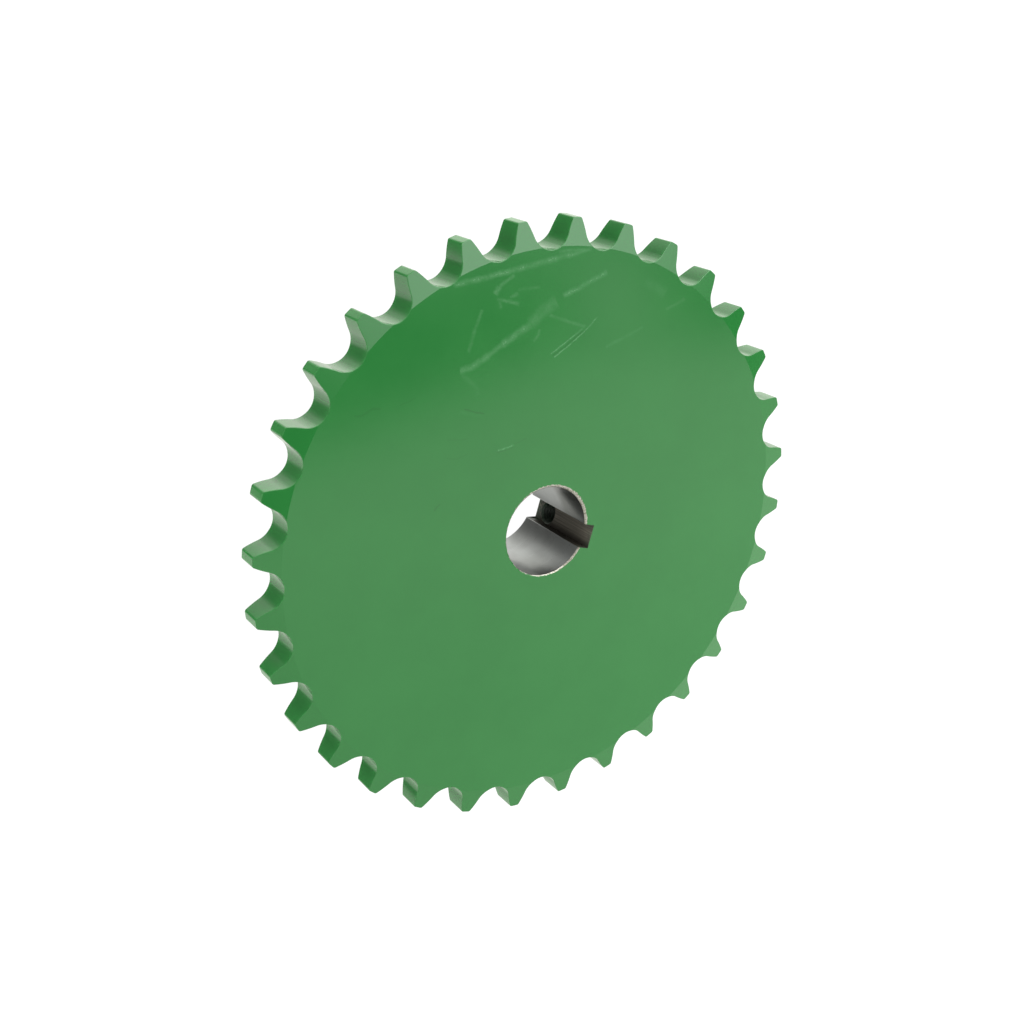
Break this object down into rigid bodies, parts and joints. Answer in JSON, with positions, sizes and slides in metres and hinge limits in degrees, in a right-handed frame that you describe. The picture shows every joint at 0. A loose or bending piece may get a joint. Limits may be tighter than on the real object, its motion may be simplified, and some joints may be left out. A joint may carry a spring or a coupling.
{
  "type": "roller chain sprocket",
  "caption": "Flat toothed chain wheel with a plain hub behind it, a round bore with a keyway and a tapped set-screw hole, painted green; it carries and drives a roller chain.",
  "frame": {"origin": "centre of the hub's end face, on which the part stands", "axes": "+Z along the bore from the hub's end to the plate's front face, +X from the axis to the middle of the keyway"},
  "size_m": [0.2004, 0.2004, 0.0321],
  "materials": {
    "painted_steel": "semi-gloss green paint over steel; bore and keyway bare"
  },
  "bodies": {
    "root": {"sprocket": "painted_steel"}
  },
  "joints": []
}
